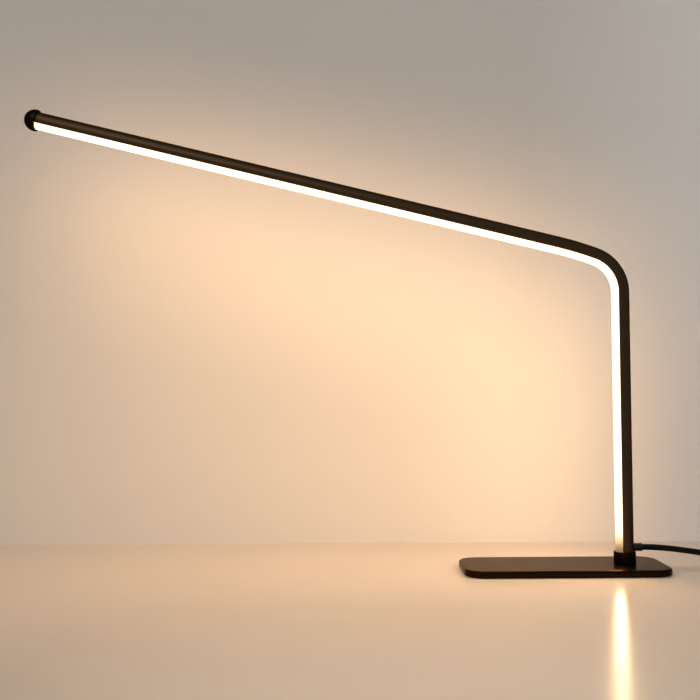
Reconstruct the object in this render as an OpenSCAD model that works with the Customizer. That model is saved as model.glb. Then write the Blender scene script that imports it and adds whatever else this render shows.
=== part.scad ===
// Bent-tube LED desk lamp.
// The origin is on the swivel axis, at the underside of the base pad.
// The arm reaches towards -X, the cord leaves towards +X, and +Z is up.

/* [Base] */
// Length of the base plate
base_l = 218; // [180:1:260]
// Width of the base plate
base_w = 90; // [80:1:130]
// Thickness of the base plate
base_t = 6.7; // [6.6:0.1:12]
// Radius of the plate's four corners
base_corner_r = 21; // [12:0.5:35]
// Radius that rounds the plate's top edge
base_edge_r = 2; // [1:0.1:3]
// Distance from the swivel axis to the rear end of the plate
base_rear = 42; // [30:1:60]
// Thickness of the non-slip pad
pad_t = 0.8; // [0.6:0.1:2.5]
// Distance that the pad is set in from the plate's outline
pad_inset = 3; // [1:0.5:6]

/* [Tube] */
// Outer diameter of the bent tube
tube_d = 19; // [18:0.5:24]
// Wall of the aluminium channel
channel_wall = 1.2; // [1:0.1:1.5]
// Half of the angle that the light slot opens, as seen from the tube's centre
slot_half_angle = 65.5; // [60:0.5:70]
// Height at which the line of the arm meets the swivel axis
elbow_z = 335.5; // [250:0.5:420]
// Angle that the arm rises above level
arm_rise = 13.8382; // [0:0.0001:30]
// Length of the arm from the swivel axis to the tip
arm_length = 668.5; // [400:0.5:800]
// Centre-line radius of the bend
bend_r = 47.5; // [40:0.5:90]

/* [Light] */
// Distance from the tube's centre to the front of the shelf, towards the rear
shelf_x = 1.8; // [1:0.1:2.5]
// Thickness of the shelf that carries the LED strip
shelf_t = 1.2; // [0.8:0.1:1.6]
// Height at which the shelf starts
shelf_bottom_z = 30.5; // [29.5:0.5:40]
// Width of the lip that holds the diffuser's legs
lip_w = 0.8; // [0.5:0.1:1]
// Thickness of the lip
lip_t = 0.9; // [0.6:0.1:1.2]
// Wall of the opal diffuser
diffuser_t = 1.6; // [1.2:0.1:1.8]
// Thickness of the diffuser's legs
leg_t = 0.9; // [0.6:0.1:1.2]
// Width of the LED strip
strip_w = 8; // [5:0.5:10]
// Thickness of the LED strip
strip_t = 0.3; // [0.2:0.1:0.5]
// Distance between two LED chips
led_pitch = 16.5; // [10:0.5:25]
// Length of an LED chip, along the strip
led_l = 2.8; // [2:0.1:4]
// Width of an LED chip, across the strip
led_w = 3.5; // [2:0.1:4.5]
// Height of an LED chip
led_h = 0.7; // [0.5:0.1:1]
// Length of strip under the solder joints, before the first chip
strip_lead = 11; // [9:0.5:20]

/* [End cap] */
// Diameter of the round cap on the arm's tip
cap_d = 24; // [23.5:0.5:30]
// Length of the cap's straight skirt
cap_skirt = 2; // [1:0.5:4]
// Length of tube that the cap covers
cap_grip = 6; // [5:0.5:7]
// Wall of the cap's dome
cap_wall = 2.05; // [1.6:0.05:2.1]

/* [Swivel] */
// Wall of the collar that holds the post
collar_wall = 1.9; // [1.4:0.1:3]
// Height of the collar above the plate
collar_h = 12.6; // [11:0.2:15]
// Diameter of the collar's threaded spigot, in the plate
spigot_d = 20; // [17:0.5:22]
// Length of the spigot
spigot_h = 2.5; // [2:0.1:3]
// Thickness of the collar's floor, with the spigot
floor_t = 4; // [3.6:0.1:5]
// Nominal diameter of the pivot bolt
bolt_d = 6; // [5:0.5:8]
// Diameter of the bolt's flat head
bolt_head_d = 11; // [10:0.5:13]
// Thickness of the bolt's head
bolt_head_t = 1.6; // [1.4:0.1:2]
// Width across the flats of the bolt's hexagon socket
bolt_key = 4; // [3:0.5:5]
// Wall of the bush round the bolt
bush_wall = 1; // [0.8:0.1:1.2]
// Thickness of the bush's flange, on which the post turns
bush_flange_t = 0.85; // [0.5:0.05:1.5]
// Outer diameter of the washers under the plate
washer_d = 13; // [12:0.5:14.5]
// Thickness of the sliding washer
washer_t = 0.5; // [0.4:0.1:0.6]
// Thickness of the disc spring's sheet
spring_t = 0.6; // [0.4:0.1:0.7]
// Height by which the disc spring is dished
spring_dish = 0.3; // [0.2:0.1:0.4]
// Length of the metal foot in the bottom of the post
foot_h = 9.2; // [8.5:0.1:9.5]
// Diameter of the pin that stops the swivel
stop_pin_d = 1.6; // [1.2:0.1:1.8]
// Distance of the stop pin from the swivel axis
stop_pin_r = 6.2; // [6:0.1:6.5]
// Swing of the arm to either side
swing = 90; // [30:5:120]

/* [Cord exit] */
// Outer diameter of the grip sleeve
grip_d = 8.4; // [8:0.1:9.4]
// Length of the sleeve, out from the tube
grip_l = 9; // [7:0.5:15]
// Diameter of the flange at the sleeve's end
grip_flange_d = 8.7; // [8.4:0.1:10]
// Length of that flange
grip_flange_l = 1.6; // [1:0.1:2.5]
// Gap between the sleeve and the collar below it
grip_gap = 0.25; // [0.2:0.05:1.5]
// Diameter of the sleeve's threaded stem, through the tube's wall
stem_d = 7.6; // [7.4:0.1:7.8]
// Width across the flats of the nut inside the tube
grip_nut_af = 9; // [8.5:0.1:9]
// Thickness of that nut
grip_nut_t = 2; // [1.5:0.1:2.5]
// Diameter of the round cord
cord_d = 6.4; // [5.8:0.1:6.6]
// Diameter of each insulated wire in the cord
core_d = 1.8; // [1.2:0.1:2]

/* [Dimmer on the cord] */
// Length of the dimmer's case
dimmer_l = 66; // [60:1:70]
// Width of the dimmer's case
dimmer_w = 24; // [22:0.5:25]
// Height of the dimmer's case
dimmer_h = 14; // [13.5:0.1:16]
// Wall of the dimmer's case
dimmer_wall = 1.6; // [1.2:0.1:1.8]
// Distance from the swivel axis to the dimmer's near end
dimmer_x = 150; // [148:0.5:151]
// Diameter of a push button
button_d = 8; // [6:0.5:9]
// Height by which a button stands proud of the case
button_proud = 1.2; // [0.8:0.1:2]
// Travel of a button
button_travel = 0.5; // [0.3:0.1:0.8]
// Distance between two buttons
button_pitch = 14; // [12:0.5:15]
// Length of the cord guard at each end of the case
guard_l = 8; // [6:0.5:10]

/* [Wall adapter] */
// Length of the adapter's body, without its pins
adapter_l = 60; // [50:1:70]
// Width of the adapter's body
adapter_w = 34; // [32:0.5:40]
// Height of the adapter's body, as it lies
adapter_h = 26; // [24:0.5:30]
// Wall of the adapter's body
adapter_wall = 1.8; // [1.5:0.1:2.5]
// Length of the moulded face that holds the pins
adapter_face_l = 9; // [8:0.5:14]
// Diameter of a contact pin
pin_d = 4; // [3.5:0.1:5]
// Length of a contact pin
pin_l = 19; // [15:0.5:20]
// Distance between the two pins
pin_pitch = 18.6; // [17:0.1:19.5]
// Length of the adapter's cord guard
adapter_guard_l = 14; // [10:0.5:18]

/* [Clearances] */
// Radial clearance where the post turns in the collar
turn_fit = 0.075; // [0.05:0.005:0.1]
// Gap between pieces that sit in one another
fit = 0.05; // [0.03:0.01:0.1]
// Gap round a button in its hole
button_fit = 0.2; // [0.15:0.05:0.3]
// Gap between flat faces that slide on one another
slide_gap = 0.05; // [0.03:0.01:0.1]

/* [Hidden] */
$fn = 96;

black = [0.09, 0.09, 0.09];
metal = [0.75, 0.76, 0.78];
opal = [1.0, 0.9, 0.72];
board_green = [0.12, 0.35, 0.22];
copper = [0.72, 0.45, 0.25];

// Heights of the base, from the table up
base_top = pad_t + base_t;
collar_top = base_top + collar_h;
floor_bottom = base_top - spigot_h;
floor_top = floor_bottom + floor_t;
counterbore_d = washer_d + 3;
base_x = base_rear - base_l / 2;

// The tube and its bend
tube_r = tube_d / 2;
inner_r = tube_r - channel_wall;
slot_p = tube_r * cos(slot_half_angle);
lip_r = inner_r - lip_w;
bend_angle = 90 - arm_rise;
bend_setback = bend_r * tan(bend_angle / 2);
post_top = elbow_z - bend_setback;
foot_bottom = floor_top + bush_flange_t + slide_gap;
foot_top = foot_bottom + foot_h;
channel_bottom = foot_bottom + 0.2;
diffuser_bottom = foot_top + 0.2;
cap_r = cap_d / 2;
cap_s = arm_length - cap_r;
cap_rim_s = cap_s - cap_skirt;
tube_end_s = cap_rim_s + cap_grip;
strip_front = shelf_x - strip_t;
strip_bottom = shelf_bottom_z + 1;
strip_end_s = tube_end_s - 3;

// The swivel
collar_bore_r = tube_r + turn_fit;
collar_r = collar_bore_r + collar_wall;
bolt_head_bottom = pad_t + 0.1;
spring_bottom = bolt_head_bottom + bolt_head_t + slide_gap;
washer_top = spring_bottom + spring_dish + spring_t + washer_t;
counterbore_top = washer_top + slide_gap;
bush_bore_r = bolt_d / 2 + slide_gap;
bush_r = bush_bore_r + bush_wall;
bush_flange_r = bush_r + 0.8;
thread_depth = foot_h - 1.5;
groove_depth = 2.2;
groove_half_w = stop_pin_d / 2 + 0.2;
pin_half_angle = asin(stop_pin_d / 2 / stop_pin_r);
groove_half_angle = swing + pin_half_angle + 1;
foot_screw_z = foot_bottom + foot_h / 2;
foot_screw_d = 2.5;
foot_screw_head_d = 4.4;

// The cord's exit from the post
grip_z = collar_top + grip_gap + grip_d / 2;
grip_end = tube_r + grip_l;
grip_bore = cord_d + 0.2;
nut_corner = grip_nut_af / sqrt(3);
nut_face = sqrt(inner_r * inner_r - nut_corner * nut_corner) - fit;
stem_end = nut_face - grip_nut_t;
stop_l = 2.6;
jacket_x = stem_end - stop_l - 0.8;

// The dimmer
dimmer_end_x = dimmer_x + dimmer_l;
dimmer_mid_x = dimmer_x + dimmer_l / 2;
dimmer_corner_r = 6;
dimmer_edge_r = 1.5;
dimmer_split = dimmer_h / 2 + 0.5;
cord_axis_z = dimmer_h / 2;
ceiling_z = dimmer_h - dimmer_wall;
board_t = 1.2;
dimmer_board_top = cord_axis_z + 0.2;
dimmer_board_l = dimmer_l - 16;
dimmer_board_w = dimmer_w - 2 * dimmer_wall - 2;
switch_w = 6;
button_flange_t = 0.9;
button_flange_top = ceiling_z - 0.15;
plunger_d = 3;
switch_top = button_flange_top - button_flange_t - button_travel - 0.2;
plunger_bottom = switch_top - 0.3;
boss_d = 4.4;
boss_x = dimmer_l / 2 - 5;
boss_y = dimmer_w / 2 - 4.6;
guard_root_d = 9;
guard_tip_d = cord_d + 1.2;

// The coil that holds the cord's spare length
coil_turns = 8.25;
coil_layers = 4;
coil_pitch = cord_d + 0.6;
coil_outer_r = 35.8;
coil_x = 221;
coil_y = -52;
coil_rings = 24;
coil_sides = 6;
layer_turns = coil_turns / coil_layers;
cord_rest_z = cord_d / 2 + 0.1;
coil_top_z = cord_rest_z + (coil_layers - 1) * coil_pitch;

// The wall adapter, which lies with its pins towards -X
adapter_x = 165;
adapter_y = coil_y - coil_outer_r;
adapter_z = adapter_h / 2;
adapter_corner_r = 6;
adapter_edge_r = 2;
shell_l = adapter_l - adapter_face_l;
adapter_board_w = adapter_w - 2 * adapter_wall - 3;
adapter_board_bottom = adapter_wall + 2.8;

// The cord's route, one point to a ring
lead_points = [
    [grip_end, 0, grip_z], [grip_end + cord_d, 0, grip_z], [38, 0, 23.8], [52, 0, 22.4],
    [66, 0, 20.5], [81, 0, 18.2], [92, 0, 15.8], [103, 0, 12.6], [114, 0, 9.5], [125, 0, 7.5],
    [dimmer_x - guard_l - cord_d, 0, cord_axis_z], [dimmer_x - guard_l, 0, cord_axis_z]
];
mid_points = [
    [dimmer_end_x + guard_l, 0, cord_axis_z], [dimmer_end_x + guard_l + cord_d, 0, cord_axis_z],
    [240, -2, 6.2], [248, -8, 4.8], [254, -16, 3.8], [256.4, -26, cord_rest_z], [256.8, -36, cord_rest_z],
    [coil_x + coil_outer_r, coil_y + cord_d, cord_rest_z]
];
tail_points = [
    [coil_x - cord_d, adapter_y, coil_top_z], [coil_x - 2 * cord_d, adapter_y, coil_top_z],
    [201, adapter_y, 21.8], [193, adapter_y, 16.8], [adapter_x + adapter_guard_l + cord_d, adapter_y, adapter_z],
    [adapter_x + adapter_guard_l, adapter_y, adapter_z]
];
wire_points = [
    [jacket_x, 1.2, grip_z], [jacket_x - 1.4, 1.2, grip_z], [jacket_x - 2.6, 1.3, grip_z + 1.6],
    [jacket_x - 3, 1.5, grip_z + 4.5], [jacket_x - 2.4, 1.8, grip_z + 7],
    [strip_front - core_d / 2 - 1, 2, grip_z + 9.4], [strip_front - core_d / 2, 2, grip_z + 12],
    [strip_front - core_d / 2, 2, grip_z + 15.5]
];

// Vectors and tubes swept along points
function unit(v) = v / norm(v);
function tangent(p, i) =
    i == 0 ? unit(p[1] - p[0]) :
    i == len(p) - 1 ? unit(p[i] - p[i - 1]) : unit(unit(p[i + 1] - p[i]) + unit(p[i] - p[i - 1]));
function ring(p, i, r, sides, side_of) =
    let (t = tangent(p, i), u = unit(cross(side_of, t)), v = cross(t, u))
    [for (k = [0:sides - 1]) let (a = 360 * (k + 0.5) / sides) p[i] + r * (cos(a) * u + sin(a) * v)];

module swept_tube(p, d, sides, side_of) {
    n = len(p);
    rings = [for (i = [0:n - 1]) each ring(p, i, d / 2, sides, side_of)];
    walls = [for (i = [0:n - 2]) for (k = [0:sides - 1]) let (
        a = i * sides + k,
        b = i * sides + (k + 1) % sides
    ) each [[a, b + sides, b], [a, a + sides, b + sides]]];
    first = [for (k = [1:sides - 2]) [0, k, k + 1]];
    last = [for (k = [1:sides - 2]) [(n - 1) * sides, (n - 1) * sides + k + 1, (n - 1) * sides + k]];
    polyhedron(points = rings, faces = concat(walls, first, last), convexity = 6);
}

// A point of the coil after t turns: it spirals in and out, and climbs where it turns back
function coil_radius(t) =
    let (part = t / layer_turns, k = floor(part), along = part - k)
    coil_outer_r - coil_pitch * layer_turns * (k % 2 == 0 ? along : 1 - along);
function climbed(t, k) = min(1, max(0, (t - k * layer_turns) / 0.5 + 0.5));
function coil_height(t) = coil_pitch * (climbed(t, 1) + climbed(t, 2) + climbed(t, 3));
function coil_point(t) = [
    coil_x + coil_radius(t) * cos(360 * t),
    coil_y - coil_radius(t) * sin(360 * t),
    cord_rest_z + coil_height(t)
];
coil_steps = coil_turns * coil_rings;
coil_points = concat(
    [[coil_x + coil_outer_r, coil_y + cord_d, cord_rest_z]],
    [for (i = [0:coil_steps - 1]) coil_point(i / coil_rings)],
    [[coil_x, adapter_y, coil_top_z], [coil_x - cord_d, adapter_y, coil_top_z]]
);
coil_gap = min([
    for (i = [0:len(coil_points) - 1]) for (j = [i + coil_rings / 2:1:len(coil_points) - 1])
        norm(coil_points[i] - coil_points[j])
]) - cord_d;
coil_length = ([for (p = coil_points) 1] * [
    for (i = [0:len(coil_points) - 1]) i == 0 ? 0 : norm(coil_points[i] - coil_points[i - 1])
]);
echo(least_gap_in_the_coil = coil_gap, length_of_the_coil = coil_length);

// Straight post, bend and straight arm, all with the same section
module arm_at(s) {
    translate([-bend_r, 0, post_top]) rotate([0, -bend_angle, 0])
        translate([bend_r, 0, s - bend_setback]) children();
}

module along_tube(bottom, end_s) {
    reach = bend_r + tube_d;
    translate([0, 0, bottom]) linear_extrude(height = post_top - bottom) children();
    translate([-bend_r, 0, post_top]) intersection() {
        rotate([90, 0, 0]) rotate([0, 0, 180]) rotate_extrude() translate([bend_r, 0]) children();
        translate([-reach, -reach, 0]) cube(2 * reach);
        rotate([0, -bend_angle, 0]) translate([-reach, -reach, -2 * reach]) cube(2 * reach);
    }
    arm_at(bend_setback) linear_extrude(height = end_s - bend_setback) children();
}

// Half-plane behind, or in front of, a line across the tube's section
module behind(x) {
    translate([x, -tube_d]) square([2 * tube_d, 2 * tube_d]);
}

module in_front(x) {
    translate([x - 2 * tube_d, -tube_d]) square([2 * tube_d, 2 * tube_d]);
}

module channel_wall_2d() {
    intersection() {
        difference() {
            circle(r = tube_r);
            circle(r = inner_r);
        }
        behind(-slot_p);
    }
}

module lips_2d() {
    intersection() {
        difference() {
            circle(r = inner_r + channel_wall / 2);
            circle(r = lip_r);
        }
        translate([-slot_p, -tube_d]) square([lip_t, 2 * tube_d]);
    }
}

module shelf_2d() {
    intersection() {
        circle(r = inner_r + channel_wall / 2);
        translate([shelf_x, -tube_d]) square([shelf_t, 2 * tube_d]);
    }
}

// A block with round corners, r from each corner's axis; children() is its edge's profile
module rounded_block(l, w, r, h) {
    translate([r - l / 2, r - w / 2, 0]) cube([l - 2 * r, w - 2 * r, h]);
    for (side = [0, 1]) {
        mirror([0, side, 0]) translate([r - l / 2, w / 2 - r, 0]) rotate([90, 0, 90])
            linear_extrude(height = l - 2 * r) children();
        mirror([side, 0, 0]) translate([l / 2 - r, w / 2 - r, 0]) rotate([90, 0, 0])
            linear_extrude(height = w - 2 * r) children();
        for (end = [0, 1])
            mirror([side, 0, 0]) mirror([0, end, 0]) translate([l / 2 - r, w / 2 - r, 0])
                rotate_extrude(angle = 90) children();
    }
}

// Profile of a block's edge: square at the bottom, rounded by e at the top
module edge_2d(r, h, e) {
    polygon(concat(
        [[0, 0], [r, 0]],
        [for (a = [0:15:90]) [r - e + e * cos(a), h - e + e * sin(a)]],
        [[0, h]]
    ));
}

module round_block(l, w, r, h, e) {
    rounded_block(l, w, r, h) edge_2d(r, h, e);
}

module square_block(l, w, r, h) {
    rounded_block(l, w, r, h) square([r, h]);
}

// The base
module base_plate() {
    color(black) difference() {
        translate([base_x, 0, pad_t]) round_block(base_l, base_w, base_corner_r, base_t, base_edge_r);
        translate([0, 0, floor_bottom]) cylinder(d = spigot_d, h = spigot_h + 1);
        translate([0, 0, pad_t - 1]) cylinder(d = counterbore_d, h = counterbore_top - pad_t + 1);
        translate([0, 0, pad_t]) cylinder(d = bolt_d + 0.6, h = base_t);
    }
}

module base_pad() {
    color([0.16, 0.16, 0.16]) translate([base_x, 0, 0])
        square_block(base_l - 2 * pad_inset, base_w - 2 * pad_inset, base_corner_r - pad_inset, pad_t);
}

module collar() {
    chamfer = 0.4;
    color(black) difference() {
        rotate_extrude() polygon([
            [bush_r, floor_bottom], [spigot_d / 2, floor_bottom], [spigot_d / 2, base_top],
            [collar_r, base_top], [collar_r, collar_top - chamfer], [collar_r - chamfer, collar_top],
            [collar_bore_r, collar_top], [collar_bore_r, floor_top], [bush_r, floor_top]
        ]);
        translate([stop_pin_r, 0, floor_bottom + 0.5]) cylinder(d = stop_pin_d, h = floor_t);
    }
}

module pivot_bush() {
    color([0.85, 0.83, 0.76]) rotate_extrude() polygon([
        [bush_bore_r, floor_bottom], [bush_r, floor_bottom], [bush_r, floor_top],
        [bush_flange_r, floor_top], [bush_flange_r, floor_top + bush_flange_t],
        [bush_bore_r, floor_top + bush_flange_t]
    ]);
}

module stop_pin() {
    top = foot_bottom + groove_depth - 0.4;
    color(metal) translate([stop_pin_r, 0, floor_bottom + 0.5])
        cylinder(d = stop_pin_d, h = top - floor_bottom - 0.5);
}

// The swivel's pieces that turn with the arm
module foot_screw_at(side) {
    translate([0, 0, foot_screw_z]) rotate([-90 * side, 0, 0]) children();
}

module foot_screw_shape() {
    head_depth = (foot_screw_head_d - foot_screw_d) / 2;
    translate([0, 0, bolt_d / 2 + 1]) cylinder(d = foot_screw_d, h = tube_r);
    translate([0, 0, tube_r - head_depth - 0.4])
        cylinder(d1 = foot_screw_d, d2 = foot_screw_head_d, h = head_depth);
    translate([0, 0, tube_r - 0.4]) cylinder(d = foot_screw_head_d, h = 2);
}

module foot_2d() {
    circle(r = inner_r - fit);
    intersection() {
        circle(r = tube_r);
        in_front(-slot_p - fit);
    }
}

module post_foot() {
    color(metal) difference() {
        translate([0, 0, foot_bottom]) linear_extrude(height = foot_h) foot_2d();
        translate([0, 0, foot_bottom - 1]) cylinder(d = bolt_d, h = thread_depth + 1);
        rotate([0, 0, -groove_half_angle]) rotate_extrude(angle = 2 * groove_half_angle)
            translate([stop_pin_r - groove_half_w, foot_bottom - 1])
                square([2 * groove_half_w, groove_depth + 1]);
        for (side = [-1, 1]) foot_screw_at(side) foot_screw_shape();
    }
}

module foot_screws() {
    color(metal) for (side = [-1, 1]) intersection() {
        foot_screw_at(side) difference() {
            foot_screw_shape();
            translate([0, 0, tube_r - 1]) cylinder(d = 1.5, h = 3, $fn = 6);
        }
        cylinder(r = tube_r - fit, h = foot_top);
    }
}

module pivot_bolt() {
    color(metal) difference() {
        union() {
            translate([0, 0, bolt_head_bottom]) cylinder(d = bolt_head_d, h = bolt_head_t);
            translate([0, 0, bolt_head_bottom])
                cylinder(d = bolt_d, h = foot_bottom + thread_depth - 0.5 - bolt_head_bottom);
        }
        translate([0, 0, bolt_head_bottom - 1]) cylinder(d = bolt_key / cos(30), h = 2.2, $fn = 6);
    }
}

module slide_washer() {
    color([0.85, 0.83, 0.76]) translate([0, 0, washer_top - washer_t]) difference() {
        cylinder(d = washer_d, h = washer_t);
        translate([0, 0, -1]) cylinder(d = bolt_d + 0.2, h = washer_t + 2);
    }
}

module disc_spring() {
    inner = bolt_d / 2 + 0.1;
    outer = washer_d / 2 - 0.5;
    color(metal) translate([0, 0, spring_bottom]) rotate_extrude() polygon([
        [inner, 0], [outer, spring_dish], [outer, spring_dish + spring_t], [inner, spring_t]
    ]);
}

// The lit tube
module bent_channel() {
    color(black) difference() {
        union() {
            translate([0, 0, channel_bottom]) linear_extrude(height = diffuser_bottom - channel_bottom)
                channel_wall_2d();
            translate([0, 0, diffuser_bottom]) linear_extrude(height = shelf_bottom_z - diffuser_bottom) {
                channel_wall_2d();
                lips_2d();
            }
            along_tube(shelf_bottom_z, tube_end_s) {
                union() {
                    channel_wall_2d();
                    lips_2d();
                    shelf_2d();
                }
            }
        }
        translate([0, 0, grip_z]) rotate([0, 90, 0]) cylinder(d = stem_d, h = tube_d);
        for (side = [-1, 1]) foot_screw_at(side) foot_screw_shape();
    }
}

module diffuser_2d() {
    edge = -slot_p - fit;
    leg_outer = sqrt(lip_r * lip_r - slot_p * slot_p) - fit;
    barb = 0.4;
    leg_end = lip_t - slot_p + 1.1;
    intersection() {
        difference() {
            circle(r = tube_r);
            circle(r = tube_r - diffuser_t);
        }
        in_front(edge);
    }
    for (side = [0, 1]) mirror([0, side]) {
        translate([edge - 2.3, leg_outer - leg_t]) square([leg_end - edge + 2.3, leg_t]);
        translate([leg_end - 1, leg_outer - leg_t / 2]) square([1, leg_t / 2 + barb]);
    }
}

module diffuser() {
    color(opal) along_tube(diffuser_bottom, tube_end_s) diffuser_2d();
}

module led_strip() {
    color([0.93, 0.93, 0.9]) along_tube(strip_bottom, strip_end_s)
        translate([strip_front, -strip_w / 2]) square([strip_t, strip_w]);
}

module led_chip() {
    translate([strip_front - led_h, -led_w / 2, -led_l / 2]) cube([led_h, led_w, led_l]);
}

module led_chips() {
    first = strip_bottom + strip_lead;
    post_run = post_top - first;
    post_chips = floor(post_run / led_pitch);
    bend_start = (post_chips + 1) * led_pitch - post_run;
    bend_run = bend_r * bend_angle * PI / 180;
    bend_chips = floor((bend_run - bend_start) / led_pitch);
    arm_start = bend_start + (bend_chips + 1) * led_pitch - bend_run;
    strip_r = bend_r + strip_front;
    sag = strip_r - sqrt(strip_r * strip_r - led_l * led_l / 4);
    color([1, 0.95, 0.7]) {
        for (i = [0:post_chips]) translate([0, 0, first + i * led_pitch]) led_chip();
        for (i = [0:bend_chips]) translate([-bend_r, 0, post_top])
            rotate([0, -(bend_start + i * led_pitch) / bend_r * 180 / PI, 0])
                translate([bend_r - sag, 0, 0]) led_chip();
        for (s = [bend_setback + arm_start:led_pitch:strip_end_s - 3]) arm_at(s) led_chip();
    }
}

module supply_wires() {
    color([0.75, 0.15, 0.12]) for (side = [0, 1]) mirror([0, side, 0])
        swept_tube(wire_points, core_d, 8, [0, 1, 0]);
}

module end_cap() {
    bore_h = cap_skirt + 0.2;
    depth = tube_end_s - cap_s + 0.2;
    color(black) arm_at(cap_s) rotate_extrude() difference() {
        union() {
            intersection() {
                circle(r = cap_r);
                square([cap_r + 1, cap_r + 1]);
            }
            translate([0, -cap_skirt]) square([cap_r, cap_skirt]);
        }
        translate([0, -bore_h]) square([tube_r + fit, bore_h + depth]);
        intersection() {
            circle(r = cap_r - cap_wall);
            translate([0, depth - 0.1]) square([cap_r, cap_r]);
        }
    }
}

// The cord's way into the post
module along_x(x) {
    translate([x, 0, grip_z]) rotate([0, 90, 0]) children();
}

module cord_grip() {
    color(black) difference() {
        union() {
            difference() {
                union() {
                    along_x(inner_r) cylinder(d = grip_d, h = grip_end - inner_r);
                    along_x(grip_end - grip_flange_l) cylinder(d = grip_flange_d, h = grip_flange_l);
                }
                cylinder(r = tube_r, h = 2 * grip_z);
            }
            along_x(stem_end) cylinder(d = stem_d, h = grip_end - grip_flange_l - stem_end);
        }
        along_x(stem_end - 1) cylinder(d = grip_bore, h = grip_end - stem_end + 2);
    }
}

module grip_nut() {
    color(metal) along_x(stem_end) difference() {
        rotate([0, 0, 30]) cylinder(d = 2 * nut_corner, h = grip_nut_t, $fn = 6);
        translate([0, 0, -1]) cylinder(d = stem_d, h = grip_nut_t + 2);
    }
}

module cord_stop() {
    color(metal) along_x(stem_end - stop_l) difference() {
        cylinder(d = cord_d + 2, h = stop_l);
        translate([0, 0, -1]) cylinder(d = cord_d, h = stop_l + 2);
    }
}

module jacket_end() {
    color(black) along_x(jacket_x) cylinder(d = cord_d, h = grip_end - jacket_x);
}

module cord_lead() {
    color(black) swept_tube(lead_points, cord_d, 10, [0, 0, 1]);
}

// The dimmer on the cord
module dimmer_outer(h) {
    translate([dimmer_mid_x, 0, 0]) round_block(dimmer_l, dimmer_w, dimmer_corner_r, h, dimmer_edge_r);
}

module dimmer_inner(h) {
    l = dimmer_l - 2 * dimmer_wall;
    w = dimmer_w - 2 * dimmer_wall;
    translate([dimmer_mid_x, 0, 0]) square_block(l, w, dimmer_corner_r - dimmer_wall, h);
}

module at_bosses() {
    for (side = [-1, 1]) translate([dimmer_mid_x + side * boss_x, -side * boss_y, 0]) children();
}

module dimmer_bottom() {
    color(black) difference() {
        union() {
            difference() {
                translate([0, 0, dimmer_split]) mirror([0, 0, 1]) dimmer_outer(dimmer_split);
                translate([0, 0, dimmer_wall]) dimmer_inner(dimmer_split);
            }
            at_bosses() cylinder(d = boss_d, h = dimmer_split);
            for (side = [-1, 1])
                translate([dimmer_mid_x + side * dimmer_board_l / 4 - 1, -dimmer_board_w / 2, 1])
                    cube([2, dimmer_board_w, dimmer_board_top - board_t - 1]);
        }
        at_bosses() translate([0, 0, -1]) cylinder(d = 2.4, h = dimmer_split + 2);
        at_bosses() translate([0, 0, -1]) cylinder(d = 3.6, h = 2.8);
        along_dimmer(dimmer_x - 1) cylinder(d = guard_root_d - 2, h = dimmer_l + 2);
    }
}

module along_dimmer(x) {
    translate([x, 0, cord_axis_z]) rotate([0, 90, 0]) children();
}

module dimmer_top() {
    color(black) difference() {
        union() {
            difference() {
                translate([0, 0, dimmer_split]) dimmer_outer(dimmer_h - dimmer_split);
                dimmer_inner(ceiling_z);
            }
            at_bosses() translate([0, 0, dimmer_split]) cylinder(d = boss_d, h = ceiling_z - dimmer_split + 0.5);
        }
        at_bosses() cylinder(d = 2, h = ceiling_z);
        for (i = [-1:1]) translate([dimmer_mid_x + i * button_pitch, 0, 0])
            cylinder(d = button_d + 2 * button_fit, h = dimmer_h + 1);
        along_dimmer(dimmer_x - 1) cylinder(d = guard_root_d - 2, h = dimmer_l + 2);
    }
}

module dimmer_board() {
    color(board_green) translate([
        dimmer_mid_x - dimmer_board_l / 2, -dimmer_board_w / 2, dimmer_board_top - board_t
    ]) cube([dimmer_board_l, dimmer_board_w, board_t]);
}

module dimmer_switches() {
    color([0.2, 0.2, 0.2]) for (i = [-1:1]) translate([dimmer_mid_x + i * button_pitch, 0, 0]) difference() {
        translate([-switch_w / 2, -switch_w / 2, dimmer_board_top])
            cube([switch_w, switch_w, switch_top - dimmer_board_top]);
        translate([0, 0, plunger_bottom - button_travel - 0.2]) cylinder(d = plunger_d + 0.4, h = dimmer_h);
    }
}

module dimmer_cores() {
    guard_end = dimmer_wall + 1;
    reach = (dimmer_l - dimmer_board_l) / 2 - guard_end + 3;
    color([0.75, 0.15, 0.12]) for (end = [0, 1]) for (side = [-1, 1])
        translate([dimmer_mid_x, 0, 0]) mirror([end, 0, 0])
            translate([guard_end - dimmer_l / 2, side * (core_d / 2 + 0.2), dimmer_board_top + core_d / 2 + 0.05])
                rotate([0, 90, 0]) cylinder(d = core_d, h = reach);
}

// A cord guard: a plug with a neck held by the case's wall, and a tapered, ribbed sleeve
module guard_shape(length, root_d, neck_d, neck_l, tip_d) {
    rotate_extrude() polygon([
        [0, -neck_l - 1], [root_d / 2, -neck_l - 1], [root_d / 2, -neck_l], [neck_d / 2, -neck_l],
        [neck_d / 2, 0], [root_d / 2, 0], [root_d / 2, length * 0.3], [tip_d / 2, length * 0.4],
        [tip_d / 2, length], [0, length]
    ]);
}

module dimmer_guards() {
    color(black) for (end = [0, 1]) translate([dimmer_mid_x, 0, cord_axis_z]) mirror([end, 0, 0])
        translate([dimmer_l / 2, 0, 0]) rotate([0, 90, 0])
            guard_shape(guard_l, guard_root_d, guard_root_d - 2, dimmer_wall, guard_tip_d);
}

module dimmer_screws() {
    color(metal) at_bosses() translate([0, 0, 0.5]) difference() {
        union() {
            cylinder(d = 3.5, h = 1.2);
            cylinder(d = 2, h = ceiling_z - 2);
        }
        translate([0, 0, -1]) cylinder(d = 1.5, h = 1.7, $fn = 6);
    }
}

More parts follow.
